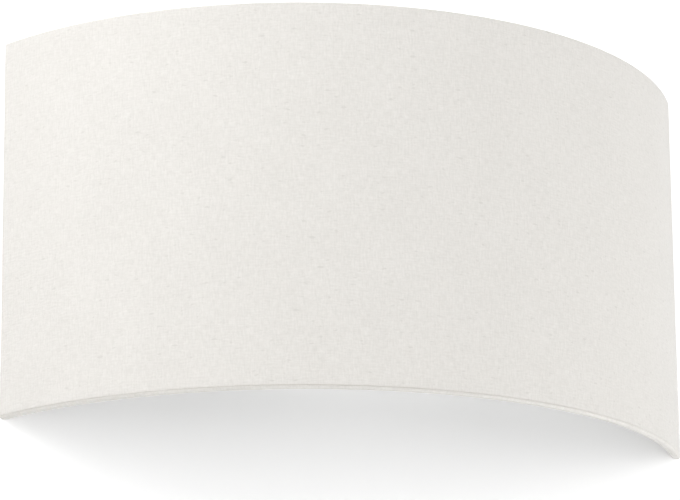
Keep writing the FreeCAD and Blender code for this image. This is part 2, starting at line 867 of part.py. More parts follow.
def led_board():
    """The disc with its ring of chips, seated in the collar's top."""
    _, collar_z, globe_z = lamp_heights()
    rim_r = math.sqrt(lamp_r**2 - (globe_z - collar_z) ** 2) - 2 * lamp_shell_wall - board_clearance
    base_z = collar_z - board_wall
    board = cylinder(rim_r, board_wall, V(0, lamp_y, base_z), UP)
    half = chip_size / 2
    for i in range(chip_count):
        turn = 2 * math.pi * i / chip_count
        x = chip_ring_r * math.cos(turn)
        y = lamp_y + chip_ring_r * math.sin(turn)
        board = board.fuse(box(x - half, x + half, y - half, y + half, collar_z, collar_z + chip_height))
    return board


# ---------------------------------------------------------------- thumb nuts


def stud_washer(side):
    """The washer between the hanger plate and the thumb nut."""
    base = V(side * stud_x, hanger_front, 0)
    return tube(washer_d / 2, stud_d / 2 + thread_clearance, washer_wall, base, FORWARD)


def thumb_nut(side):
    """A knurled nut with a plain collar towards the wall."""
    back_y = hanger_front - washer_wall
    base = V(side * stud_x, back_y, 0)
    collar = cylinder(thumb_nut_collar_d / 2, thumb_nut_collar_length, base, FORWARD)
    grip_base = base + FORWARD * thumb_nut_collar_length
    grip_length = thumb_nut_length - thumb_nut_collar_length
    grip = cylinder(thumb_nut_d / 2, grip_length, grip_base, FORWARD)
    for i in range(knurl_count):
        turn = 2 * math.pi * i / knurl_count
        offset = V(math.cos(turn), 0, math.sin(turn)) * (thumb_nut_d / 2)
        grip = grip.cut(cylinder(knurl_r, grip_length, grip_base + offset, FORWARD))
    bore = cylinder(stud_d / 2 + thread_clearance, thumb_nut_length, base, FORWARD)
    return collar.fuse(grip).cut(bore).removeSplitter()


def all_parts():
    """Every node's name and solid."""
    parts = {
        "shade_fabric": shade_fabric(),
        "shade_lining": shade_lining(),
        "top_rolled_hem": rolled_hem(shade_top, -1),
        "bottom_rolled_hem": rolled_hem(shade_bottom, 1),
        "top_ring_wire": ring_wire(shade_top, -1),
        "bottom_ring_wire": ring_wire(shade_bottom, 1),
        "wall_bracket": wall_bracket(),
        "shade_studs": shade_studs(),
        "electrical_cover": electrical_cover(),
        "cover_screws": cover_screws(),
        "entry_bush": entry_bush(),
        "lead_bush": lead_bush(),
        "terminal_block": terminal_block(),
        "terminal_barrels": terminal_barrels(),
        "clamp_screws": clamp_screws(),
        "block_screw": block_screw(),
        "earth_tongue": earth_tongue(),
        "earth_screw": earth_screw(),
        "live_wire": lamp_wire(way_places()[0], -1),
        "neutral_wire": lamp_wire(way_places()[1], 1),
        "earth_wire": earth_wire(),
        "lamp_arm": lamp_arm(),
        "arm_rivets": arm_rivets(),
        "hollow_nipple": hollow_nipple(),
        "nipple_nuts": nipple_nuts(),
        "tooth_washer": tooth_washer(),
        "lampholder_cap": lampholder_cap(),
        "lampholder_shell": lampholder_shell(),
        "lampholder_insert": lampholder_insert(),
        "thread_shell": thread_shell(),
        "centre_contact": centre_contact(),
        "holder_terminals": holder_terminals(),
        "holder_terminal_screws": holder_terminal_screws(),
        "lamp_tip": lamp_tip(),
        "lamp_insulator": lamp_insulator(),
        "lamp_cap": lamp_cap(),
        "lamp_collar": lamp_collar(),
        "lamp_globe": lamp_globe(),
        "led_board": led_board(),
    }
    for name, side in SIDES:
        parts[f"{name}_side_hem"] = side_hem(side)
        parts[f"{name}_end_wire"] = end_wire(side)
        parts[f"{name}_hanger_plate"] = hanger_plate(side)
        parts[f"{name}_stud_washer"] = stud_washer(side)
        parts[f"{name}_thumb_nut"] = thumb_nut(side)
    return parts


os.makedirs("parts", exist_ok=True)
for node_name, shape in all_parts().items():
    solids = len(shape.Solids)
    print(f"{node_name}: {solids} solid(s), volume {shape.Volume:.1f}, valid {shape.isValid()}")
    shape.exportStep(f"parts/{node_name}.step")
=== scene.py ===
"""Looks of a half-drum linen wall light, dressed round its fixed frame.

The wall is the plane y = 0, the light stands out towards -Y, and +Z is up. All sizes are in metres.
The cloth skin, its bindings and the threaded rods are new surfaces; every other piece keeps the
frame's own mesh and gets a finish.
"""

import json
import logging
import math
from dataclasses import dataclass, field
from enum import Enum

import bpy
import numpy as np
from mathutils import Matrix, Vector


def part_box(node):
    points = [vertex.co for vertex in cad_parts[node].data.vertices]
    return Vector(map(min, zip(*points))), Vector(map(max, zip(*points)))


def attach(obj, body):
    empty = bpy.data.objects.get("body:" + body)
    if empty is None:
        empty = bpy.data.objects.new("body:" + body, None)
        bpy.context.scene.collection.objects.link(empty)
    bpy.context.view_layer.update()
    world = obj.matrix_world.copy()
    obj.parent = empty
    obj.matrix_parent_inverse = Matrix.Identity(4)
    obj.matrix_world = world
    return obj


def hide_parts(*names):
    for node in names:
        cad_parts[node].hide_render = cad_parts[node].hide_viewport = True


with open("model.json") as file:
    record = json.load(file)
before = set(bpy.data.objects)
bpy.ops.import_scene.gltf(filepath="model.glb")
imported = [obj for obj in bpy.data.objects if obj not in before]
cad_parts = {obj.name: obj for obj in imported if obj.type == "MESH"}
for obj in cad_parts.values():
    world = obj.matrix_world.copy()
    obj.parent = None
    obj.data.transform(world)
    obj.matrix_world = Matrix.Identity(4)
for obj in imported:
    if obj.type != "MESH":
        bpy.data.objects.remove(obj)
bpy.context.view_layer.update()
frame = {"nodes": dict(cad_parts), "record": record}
LOG = logging.getLogger("wall_light")
MM = 0.001
CREASE_ANGLE = math.radians(42)


class Body(Enum):
    """The moving groups of the light."""

    BASE = "base"
    SHADE = "shade"
    LAMP = "lamp"


class Side(Enum):
    """Which end of the shade, as the sign of X."""

    LEFT = -1
    RIGHT = 1


class Rim(Enum):
    """Which rim of the shade, as the direction that leads into the shade."""

    BOTTOM = 1
    TOP = -1


# ------------------------------------------------------------------ mesh making


def mesh_object(name: str, points: np.ndarray, faces: list, uv: np.ndarray | None = None) -> bpy.types.Object:
    """Makes a smooth-shaded object from arrays.

    Args:
        name: the piece's name.
        points: (n, 3) vertex places in metres.
        faces: vertex index lists, counterclockwise from outside.
        uv: (n, 2) surface coordinates in metres, one pair for each vertex.

    Returns:
        The new object, at the origin.
    """
    mesh = bpy.data.meshes.new(name)
    mesh.from_pydata(points.tolist(), [], faces)
    if uv is not None:
        layer = mesh.uv_layers.new(name="cloth")
        corner = np.zeros(len(mesh.loops), np.int32)
        mesh.loops.foreach_get("vertex_index", corner)
        layer.data.foreach_set("uv", uv[corner].astype(np.float32).ravel())
    mesh.shade_smooth()
    mesh.set_sharp_from_angle(angle=CREASE_ANGLE)
    mesh.validate()
    piece = bpy.data.objects.new(name, mesh)
    bpy.context.scene.collection.objects.link(piece)
    return piece


def grid_faces(rows: int, columns: int, offset: int = 0) -> list:
    """Quads of a grid of rows by columns points, whose columns close on themselves.

    Args:
        rows: the number of points along the first parameter.
        columns: the number of points along the second parameter.
        offset: the index of the grid's first point.

    Returns:
        The quads as vertex index lists.
    """
    row, column = np.meshgrid(np.arange(rows - 1), np.arange(columns), indexing="ij")
    following = (column + 1) % columns
    quads = np.stack(
        [
            row * columns + column,
            row * columns + following,
            (row + 1) * columns + following,
            (row + 1) * columns + column,
        ],
        axis=-1,
    )
    return (quads.reshape(-1, 4) + offset).tolist()


def swept_loop(rings: np.ndarray, offset: int = 0) -> list:
    """Faces of a closed loop carried along a path, with a flat face over each end.

    Args:
        rings: (rows, columns, 3) points, each row one copy of the loop.
        offset: the index of the first point.

    Returns:
        The faces as vertex index lists.
    """
    rows, columns = rings.shape[:2]
    faces = grid_faces(rows, columns, offset)
    faces.append(list(range(offset + columns - 1, offset - 1, -1)))
    last = offset + (rows - 1) * columns
    faces.append(list(range(last, last + columns)))
    return faces


def outward(piece: bpy.types.Object) -> bpy.types.Object:
    """Turns a closed mesh right side out if its signed volume is negative.

    Args:
        piece: the object that holds the mesh.

    Returns:
        The same object.
    """
    mesh = piece.data
    mesh.calc_loop_triangles()
    places = np.zeros(len(mesh.vertices) * 3)
    mesh.vertices.foreach_get("co", places)
    corners = np.zeros(len(mesh.loop_triangles) * 3, np.int32)
    mesh.loop_triangles.foreach_get("vertices", corners)
    a, b, c = np.moveaxis(places.reshape(-1, 3)[corners].reshape(-1, 3, 3), 1, 0)
    if (a * np.cross(b, c)).sum() < 0:
        mesh.flip_normals()
    return piece


def rounded_path(corners: list, radii: list, steps: int = 7) -> np.ndarray:
    """A flat path through corners, each inner one rounded by an arc of its radius.

    At a corner with unit directions in and out, the arc starts radius * tan(half turn) before the
    corner and ends as far after it; its points turn evenly about the arc's centre.

    Args:
        corners: the path's corner points as pairs.
        radii: the rounding radius at each inner corner.
        steps: the points on each arc.

    Returns:
        (n, 2) points.
    """
    places = np.array(corners, float)
    path = [places[:1]]
    for before, corner, after, radius in zip(places, places[1:], places[2:], radii):
        into = (corner - before) / np.linalg.norm(corner - before)
        out = (after - corner) / np.linalg.norm(after - corner)
        turn = math.atan2(into[0] * out[1] - into[1] * out[0], into @ out)
        reach = radius * math.tan(abs(turn) / 2)
        side = np.array([-into[1], into[0]]) * math.copysign(1.0, turn)
        centre = corner - into * reach + side * radius
        angle = np.linspace(0, turn, steps)[:, None]
        spoke = -side * radius
        turned = np.hstack(
            [
                spoke[0] * np.cos(angle) - spoke[1] * np.sin(angle),
                spoke[0] * np.sin(angle) + spoke[1] * np.cos(angle),
            ]
        )
        path.append(centre + turned)
    path.append(places[-1:])
    return np.vstack(path)


def strip_loop(path: np.ndarray, thickness: float, steps: int = 5) -> np.ndarray:
    """The closed outline of a strip of even thickness that follows a flat path, with round ends.

    Each side is the path moved half a thickness along its normal; half circles join the sides.

    Args:
        path: (n, 2) middle line.
        thickness: the strip's thickness.
        steps: the points on each round end.

    Returns:
        (m, 2) points round the outline.
    """
    along = np.gradient(path, axis=0)
    along /= np.linalg.norm(along, axis=1)[:, None]
    normal = np.stack([-along[:, 1], along[:, 0]], axis=1)
    half = thickness / 2
    angle = np.linspace(0, math.pi, steps + 2)[1:-1, None]
    far = path[-1] + half * (normal[-1] * np.cos(angle) + along[-1] * np.sin(angle))
    near = path[0] + half * (-normal[0] * np.cos(angle) - along[0] * np.sin(angle))
    return np.vstack([path + half * normal, far, (path - half * normal)[::-1], near])


def walked(loop: np.ndarray) -> np.ndarray:
    """Distance walked along a loop to each of its points: the running sum of its steps' lengths."""
    return np.concatenate([[0], np.cumsum(np.linalg.norm(np.diff(loop, axis=0), axis=1))])


# ------------------------------------------------------------------ materials


class Shader:
    """A new node material with a Principled surface, and short ways to add and join nodes."""

    def __init__(self, name: str) -> None:
        """Starts a material.

        Args:
            name: its name.
        """
        self.material = bpy.data.materials.new(name)
        self.material.use_nodes = True
        self.tree = self.material.node_tree
        self.surface = next(n for n in self.tree.nodes if n.type == "BSDF_PRINCIPLED")

    def add(self, kind: str, **settings: object) -> bpy.types.Node:
        """Adds a node and sets its properties.

        Args:
            kind: the node's Blender type.
            settings: property values by name.

        Returns:
            The node.
        """
        node = self.tree.nodes.new(kind)
        for key, value in settings.items():
            setattr(node, key, value)
        return node

    def join(self, output: bpy.types.NodeSocket, target: bpy.types.NodeSocket) -> None:
        """Joins an output to an input."""
        self.tree.links.new(output, target)

    def coordinates(self, scale: tuple, uv: bool = False) -> bpy.types.NodeSocket:
        """Surface or object coordinates, scaled.

        Args:
            scale: the factor along each axis, per metre.
            uv: whether to follow the piece's own surface coordinates.

        Returns:
            The vector output.
        """
        source = self.add("ShaderNodeTexCoord")
        mapping = self.add("ShaderNodeMapping")
        mapping.inputs["Scale"].default_value = scale
        self.join(source.outputs["UV" if uv else "Object"], mapping.inputs["Vector"])
        return mapping.outputs["Vector"]

    def noise(self, vector: bpy.types.NodeSocket, detail: float = 2.0) -> bpy.types.NodeSocket:
        """Noise of unit scale, about 0 to 1 in value.

        Args:
            vector: the scaled coordinates.
            detail: how many finer layers are added.

        Returns:
            The value output.
        """
        node = self.add("ShaderNodeTexNoise")
        node.inputs["Scale"].default_value = 1.0
        node.inputs["Detail"].default_value = detail
        node.inputs["Roughness"].default_value = 0.5
        self.join(vector, node.inputs["Vector"])
        return node.outputs["Fac"]

    def spread(
        self, value: bpy.types.NodeSocket, low: float, high: float, start: float = 0.3, end: float = 0.7
    ) -> bpy.types.NodeSocket:
        """Maps a value's range from start to end on to low to high, clamped.

        Args:
            value: the value to map.
            low: the result at start and below.
            high: the result at end and above.
            start: where the value's range starts.
            end: where it ends.

        Returns:
            The mapped value.
        """
        node = self.add("ShaderNodeMapRange")
        node.inputs["From Min"].default_value = start
        node.inputs["From Max"].default_value = end
        node.inputs["To Min"].default_value = low
        node.inputs["To Max"].default_value = high
        self.join(value, node.inputs["Value"])
        return node.outputs["Result"]

    def math(self, operation: str, *values: float | bpy.types.NodeSocket) -> bpy.types.NodeSocket:
        """Combines numbers or outputs with one arithmetic operation.

        Args:
            operation: the operation's Blender name.
            values: its operands in order.

        Returns:
            The result.
        """
        node = self.add("ShaderNodeMath", operation=operation)
        for socket, value in zip(node.inputs, values):
            if isinstance(value, (int, float)):
                socket.default_value = value
            else:
                self.join(value, socket)
        return node.outputs["Value"]

    def mix(self, factor: bpy.types.NodeSocket, first: tuple, second: tuple) -> bpy.types.NodeSocket:
        """Mixes two colours.

        Args:
            factor: 0 for the first colour, 1 for the second.
            first: one colour.
            second: the other colour.

        Returns:
            The mixed colour.
        """
        node = self.add("ShaderNodeMix", data_type="RGBA")
        colours = [s for s in node.inputs if s.type == "RGBA"]
        colours[0].default_value = (*first, 1.0)
        colours[1].default_value = (*second, 1.0)
        self.join(factor, node.inputs["Factor"])
        return next(s for s in node.outputs if s.type == "RGBA")

    def bump(self, height: bpy.types.NodeSocket, distance: float, strength: float) -> None:
        """Roughens the surface by a height in the range 0 to 1.

        Args:
            height: the height output.
            distance: the relief in metres.
            strength: how much of the relief shows.
        """
        node = self.add("ShaderNodeBump")
        node.inputs["Distance"].default_value = distance
        node.inputs["Strength"].default_value = strength
        self.join(height, node.inputs["Height"])
        self.join(node.outputs["Normal"], self.surface.inputs["Normal"])

    def set(self, **values: float | tuple) -> None:
        """Sets constants on the surface's sockets; an underscore stands for a space in a name."""
        for key, value in values.items():
            self.surface.inputs[key.replace("_", " ")].default_value = value


@dataclass(frozen=True)
class LinenCloth:
    """Plain-woven undyed linen with slubs, on its own surface coordinates in metres."""

    pale: tuple = (0.902, 0.878, 0.842)
    deep: tuple = (0.752, 0.730, 0.690)
    thread_pitch: float = 0.62 * MM
    slub_length: float = 4.2 * MM
    relief: float = 0.22 * MM
    streak_width: float = 1.35
    warp_stretch: float = 0.9
    grain_size: float = 0.8
    blotch_scale: tuple = (38, 30, 1)
    speck_scale: tuple = (260, 620, 1)
    speck_range: tuple = (0.74, 0.82)
    weft_tone: float = 0.34
    warp_tone: float = 0.38
    grain_tone: float = 0.18
    blotch_tone: float = 0.10
    speck_tone: float = 0.45
    weave_height: float = 0.12
    relief_strength: float = 0.55

    def material(self, name: str) -> bpy.types.Material:
        """Two sets of long thin streaks, one each way, over a fine thread grid and faint blotches.

        Args:
            name: the material's name.

        Returns:
            The material.
        """
        cloth = Shader(name)
        fine = 1.0 / (self.streak_width * self.thread_pitch)
        long = 1.0 / self.slub_length
        small = fine * self.grain_size
        weft = cloth.noise(cloth.coordinates((long, fine, 1), uv=True), detail=3)
        warp = cloth.noise(cloth.coordinates((fine, long * self.warp_stretch, 1), uv=True), detail=3)
        grain = cloth.noise(cloth.coordinates((small, small, 1), uv=True), detail=1)
        blotch = cloth.noise(cloth.coordinates(self.blotch_scale, uv=True), detail=2)
        speck = cloth.noise(cloth.coordinates(self.speck_scale, uv=True), detail=0)
        threads = cloth.spread(weft, 0, self.weft_tone)
        threads = cloth.math("ADD", threads, cloth.spread(warp, 0, self.warp_tone))
        threads = cloth.math("ADD", threads, cloth.spread(grain, 0, self.grain_tone))
        tone = cloth.math("ADD", threads, cloth.spread(blotch, 0, self.blotch_tone))
        tone = cloth.math("SUBTRACT", tone, cloth.spread(speck, 0, self.speck_tone, *self.speck_range))
        cloth.join(cloth.mix(tone, self.deep, self.pale), cloth.surface.inputs["Base Color"])
        cross = 2 * math.pi / self.thread_pitch
        grid = cloth.add("ShaderNodeSeparateXYZ")
        cloth.join(cloth.coordinates((cross, cross, 1), uv=True), grid.inputs["Vector"])
        across, along = (cloth.math("SINE", grid.outputs[axis]) for axis in "XY")
        weave = cloth.math("MULTIPLY", cloth.math("MULTIPLY", across, along), self.weave_height)
        cloth.bump(cloth.math("ADD", threads, weave), self.relief, self.relief_strength)
        cloth.set(Roughness=0.92, Specular_IOR_Level=0.25, Sheen_Weight=0.35, Sheen_Roughness=0.45)
        return cloth.material


@dataclass(frozen=True)
class Coated:
    """A smooth coat or moulding: a colour that drifts a little, fine relief and uneven gloss."""

    colour: tuple
    roughness: float = 0.45
    relief: float = 0.03 * MM
    grain: float = 1400.0
    drift: float = 0.05
    subsurface: float = 0.0
    coat: float = 0.0
    cloud_scale: float = 70.0
    gloss_swing: float = 0.15
    relief_strength: float = 0.5
    scatter: float = 4.0 * MM

    def material(self, name: str) -> bpy.types.Material:
        """Builds the finish on object coordinates.

        Args:
            name: the material's name.

        Returns:
            The material.
        """
        coat = Shader(name)
        cloud = coat.noise(coat.coordinates((self.cloud_scale,) * 3), detail=3)
        peel = coat.noise(coat.coordinates((self.grain,) * 3), detail=2)
        darker = tuple(c * (1 - self.drift) for c in self.colour)
        coat.join(coat.mix(coat.spread(cloud, 0, 1), darker, self.colour), coat.surface.inputs["Base Color"])
        duller = self.roughness * (1 + self.gloss_swing)
        rough = coat.spread(peel, self.roughness * (1 - self.gloss_swing), duller)
        coat.join(rough, coat.surface.inputs["Roughness"])
        coat.bump(peel, self.relief, self.relief_strength)
        coat.set(Subsurface_Weight=self.subsurface, Coat_Weight=self.coat)
        coat.set(Subsurface_Radius=(self.scatter,) * 3, Subsurface_Scale=1.0)
        return coat.material


@dataclass(frozen=True)
class DrawnMetal:
    """Bare or plated metal with fine drawing lines along one axis and dull patches."""

    colour: tuple
    roughness: float = 0.28
    lines: tuple = (2600.0, 120.0, 2600.0)
    patch_scale: float = 160.0
    patch_shade: float = 0.82
    line_wear: float = 0.10
    patch_wear: float = 0.12
    relief: float = 0.02 * MM
    relief_strength: float = 0.5

    def material(self, name: str) -> bpy.types.Material:
        """Builds the finish on object coordinates.

        Args:
            name: the material's name.

        Returns:
            The material.
        """
        metal = Shader(name)
        streak = metal.noise(metal.coordinates(self.lines), detail=2)
        patch = metal.noise(metal.coordinates((self.patch_scale,) * 3), detail=4)
        dull = tuple(c * self.patch_shade for c in self.colour)
        colour = metal.mix(metal.spread(patch, 0, 1), dull, self.colour)
        metal.join(colour, metal.surface.inputs["Base Color"])
        worn = metal.spread(patch, self.roughness, self.roughness + self.patch_wear)
        rough = metal.math("ADD", metal.spread(streak, 0, self.line_wear), worn)
        metal.join(rough, metal.surface.inputs["Roughness"])
        metal.bump(streak, self.relief, self.relief_strength)
        metal.set(Metallic=1.0)
        return metal.material


@dataclass(frozen=True)
class StripedInsulation:
    """A wire cover in two colours, one on each side of the wire."""

    first: tuple = (0.10, 0.30, 0.06)
    second: tuple = (0.80, 0.66, 0.05)
    ripple_scale: float = 500.0
    ripple_height: float = 0.1
    border: float = 0.04
    grain: float = 1500.0
    relief: float = 0.02 * MM
    relief_strength: float = 0.4

    def material(self, name: str) -> bpy.types.Material:
        """Picks the colour by the way the surface faces, with a slightly uneven border.

        Args:
            name: the material's name.

        Returns:
            The material.
        """
        cover = Shader(name)
        facing = cover.add("ShaderNodeNewGeometry")
        split = cover.add("ShaderNodeSeparateXYZ")
        cover.join(facing.outputs["Normal"], split.inputs["Vector"])
        uneven = cover.noise(cover.coordinates((self.ripple_scale,) * 3))
        uneven = cover.spread(uneven, -self.ripple_height, self.ripple_height)
        facing_y = cover.math("ADD", split.outputs["Y"], uneven)
        choice = cover.spread(facing_y, 0, 1, -self.border, self.border)
        cover.join(cover.mix(choice, self.first, self.second), cover.surface.inputs["Base Color"])
        grain = cover.noise(cover.coordinates((self.grain,) * 3))
        cover.bump(grain, self.relief, self.relief_strength)
        cover.set(Roughness=0.38)
        return cover.material


class Finish(Enum):
    """The finishes of the light's pieces, each under the name of its slot."""

    SHADE_CLOTH = LinenCloth()
    LINING_FILM = Coated((0.86, 0.86, 0.845), roughness=0.55, relief=0.04 * MM, grain=900.0, drift=0.03)
    FRAME_PAINT = Coated((0.84, 0.84, 0.83), roughness=0.35, relief=0.05 * MM, grain=1100.0, drift=0.06)
    WHITE_POWDER_COAT = Coated((0.83, 0.83, 0.815), roughness=0.42, relief=0.07 * MM, grain=1300, drift=0.04)
    ZINC_STEEL = DrawnMetal((0.66, 0.67, 0.70), roughness=0.30)
    BUSH_RUBBER = Coated((0.045, 0.045, 0.047), roughness=0.78, relief=0.06 * MM, grain=1000.0, drift=0.25)
    TERMINAL_PLASTIC = Coated((0.78, 0.77, 0.71), roughness=0.38, grain=1500.0, subsurface=0.15)
    TERMINAL_BRASS = DrawnMetal((0.78, 0.58, 0.28), roughness=0.26)
    TINNED_METAL = DrawnMetal((0.72, 0.72, 0.73), roughness=0.38, lines=(900.0, 900.0, 900.0))
    BROWN_INSULATION = Coated((0.115, 0.048, 0.022), roughness=0.36, grain=1500.0, drift=0.15)
    BLUE_INSULATION = Coated((0.025, 0.085, 0.34), roughness=0.36, grain=1500.0, drift=0.15)
    GREEN_YELLOW_INSULATION = StripedInsulation()
    HOLDER_PLASTIC = Coated((0.82, 0.82, 0.80), roughness=0.30, relief=0.02 * MM, subsurface=0.10, coat=0.15)
    CONTACT_CERAMIC = Coated((0.80, 0.775, 0.72), roughness=0.62, relief=0.08 * MM, grain=1700.0, drift=0.10)
    DARK_INSULATOR = Coated((0.020, 0.016, 0.026), roughness=0.12, relief=0.01 * MM, drift=0.3, coat=0.6)
    LAMP_CAP_METAL = DrawnMetal((0.74, 0.74, 0.75), roughness=0.24)
    LAMP_PLASTIC = Coated((0.84, 0.84, 0.83), roughness=0.33, relief=0.03 * MM)
    OPAL_DIFFUSER = Coated((0.88, 0.88, 0.87), roughness=0.34, relief=0.01 * MM, drift=0.015, subsurface=0.45)
    BOARD_WHITE = Coated((0.80, 0.82, 0.79), roughness=0.40, grain=2200.0)

    @property
    def slot(self) -> str:
        """The record's slot name."""
        return self.name.lower()


class Wardrobe:
    """Makes each finish once and puts it on pieces."""

    def __init__(self) -> None:
        """Starts with no finish made."""
        self.made: dict = {}

    def get(self, finish: Finish) -> bpy.types.Material:
        """The material of a finish, made at its first use.

        Args:
            finish: the finish.

        Returns:
            Its material.
        """
        if finish not in self.made:
            self.made[finish] = finish.value.material(finish.slot)
        return self.made[finish]

    def dress(self, piece: bpy.types.Object, finish: Finish) -> bpy.types.Object:
        """Gives a piece one finish all over.

        Args:
            piece: the piece.
            finish: what it wears.

        Returns:
            The piece.
        """
        piece.data.materials.clear()
        piece.data.materials.append(self.get(finish))
        return piece

    def dress_frame(self) -> None:
        """Gives every frame node the finish that its slot in the record names."""
        slots = {part["node"]: part["material_slot"] for part in frame["record"]["subparts"]}
        for node, piece in frame["nodes"].items():
            material = self.get(Finish[slots[node].upper()])
            piece.data.materials.clear()
            piece.data.materials.append(material)
            LOG.info("frame piece %s wears %s", node, slots[node])


# ------------------------------------------------------------------ shade


@dataclass
class Shade:
    """The linen skin with its bindings, on the arc that the frame's cloth node gives."""

    wardrobe: Wardrobe
    cloth_wall: float = 0.6 * MM
    wrap_thickness: float = 4.95 * MM
    lip_height: float = 8.0 * MM
    seam_height: float = 1.6 * MM
    seam_gap: float = 0.30 * MM
    hidden_gap: float = 0.01 * MM
    outer_fold: float = 1.25 * MM
    inner_fold: float = 2.3 * MM
    turn_in: float = 10.0 * MM
    sway: float = 0.10 * MM
    ripples: tuple = ((1.0, 9.0, 31.0, 0.0), (0.6, 23.0, -44.0, 1.3), (0.4, 41.0, 70.0, 2.1))
    plate_gap: float = 0.5 * MM
    arc_steps: int = 260
    height_steps: int = 60
    side_steps: int = 24
    low: Vector = field(init=False)
    high: Vector = field(init=False)
    radius: float = field(init=False)
    centre_y: float = field(init=False)
    arc_length: float = field(init=False)

    def __post_init__(self) -> None:
        """Reads the arc from the cloth's box: radius = (half width squared + depth squared) / (2 depth)."""
        self.low, self.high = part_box("shade_fabric")
        rims = [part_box("bottom_rolled_hem")[0].z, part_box("top_rolled_hem")[1].z]
        self.low.z, self.high.z = rims
        depth = -self.low.y
        self.radius = (self.high.x**2 + depth**2) / (2 * depth)
        self.centre_y = self.radius - depth
        self.arc_length = 2 * self.radius * math.acos(self.centre_y / self.radius)

    def on_arc(self, radii: np.ndarray, share: np.ndarray) -> np.ndarray:
        """Plan places on arcs that all end on the wall plane.

        At radius r the angle runs from minus to plus acos(centre_y / r) as share runs from -1 to 1.

        Args:
            radii: arc radii.
            share: places along the arc, -1 to 1.

        Returns:
            (..., 2) x and y.
        """
        widest = np.arccos(np.clip(self.centre_y / radii, -1, 1))
        angle = share * widest
        return np.stack([radii * np.sin(angle), self.centre_y - radii * np.cos(angle)], axis=-1)

    def carried(self, name: str, loop: np.ndarray, swayed: bool = False) -> bpy.types.Object:
        """Carries a closed (radius, z) loop along the shade's arc.

        With swayed set, radii also get a slow ripple: a sum of sines of arc place and height, each
        with its strength, its rate along the arc and up, and its start, faded out to the rims.

        Args:
            name: the piece's name.
            loop: (n, 2) radius and height points.
            swayed: whether the surface ripples.

        Returns:
            The piece, with surface coordinates of the places along the arc and along the loop.
        """
        share = np.linspace(-1, 1, self.arc_steps)[:, None]
        radii = np.broadcast_to(loop[:, 0], (self.arc_steps, len(loop))).copy()
        heights = np.broadcast_to(loop[:, 1], radii.shape)
        if swayed:
            middle = np.clip(1 - (2 * heights / (self.high.z - self.low.z)) ** 2, 0, 1)
            ripple = sum(
                strength * np.sin(across * share + upward * heights + start)
                for strength, across, upward, start in self.ripples
            )
            radii -= self.sway * (1 + ripple / 2) * middle
        plan = self.on_arc(radii, np.broadcast_to(share, radii.shape))
        rings = np.concatenate([plan, heights[..., None]], axis=-1)
        arc_place = np.broadcast_to(share * self.arc_length / 2, radii.shape)
        uv = np.stack([arc_place, np.broadcast_to(walked(loop), radii.shape)], axis=-1)
        piece = mesh_object(name, rings.reshape(-1, 3), swept_loop(rings), uv.reshape(-1, 2))
        return outward(piece)

    def skin(self) -> bpy.types.Object:
        """The flat cloth between the two rim seams, a thin strip loop carried along the arc.

        Returns:
            The piece.
        """
        middle_r = self.radius - self.cloth_wall / 2
        low_z, high_z = self.low.z + self.seam_height, self.high.z - self.seam_height
        half = self.cloth_wall / 2
        heights = np.linspace(low_z + half, high_z - half, self.height_steps)
        line = np.stack([np.full_like(heights, middle_r), heights], axis=1)
        piece = self.carried("linen_skin", strip_loop(line, self.cloth_wall), swayed=True)
        self.finish(piece, "shade_fabric")
        return piece

    def binding(self, rim: Rim) -> bpy.types.Object:
        """The cloth rolled over a ring wire: outer edge, flat face, and a lip inside the shade.

        Args:
            rim: which rim it binds.

        Returns:
            The piece.
        """
        inwards = rim.value
        edge_z = self.low.z if rim is Rim.BOTTOM else self.high.z
        gap = self.seam_gap if rim is Rim.BOTTOM else self.hidden_gap
        half = self.cloth_wall / 2
        outer_r = self.radius - half
        inner_r = self.radius - self.wrap_thickness + half
        corners = [
            (outer_r, edge_z + inwards * (self.seam_height - gap)),
            (outer_r, edge_z + inwards * half),
            (inner_r, edge_z + inwards * half),
            (inner_r, edge_z + inwards * (self.lip_height - half)),
        ]
        path = rounded_path(corners, [self.outer_fold, self.inner_fold])
        name = f"{rim.name.lower()}_rim_binding"
        piece = self.carried(name, strip_loop(path, self.cloth_wall))
        self.finish(piece, f"{rim.name.lower()}_rolled_hem")
        return piece

    def side_binding(self, side: Side) -> bpy.types.Object:
        """The cloth rolled over an end wire, open where the hanger plate comes through its lip.

        A flat strip outline is carried straight up in three runs; the middle one has no lip.

        Args:
            side: which end of the shade it binds.

        Returns:
            The piece.
        """
        half = self.cloth_wall / 2
        inner_r = self.radius - self.wrap_thickness + half

        def x_at(radius: float, y: float) -> float:
            """X where an arc of that radius meets a plane parallel to the wall."""
            return math.sqrt(radius**2 - (self.centre_y - y) ** 2)

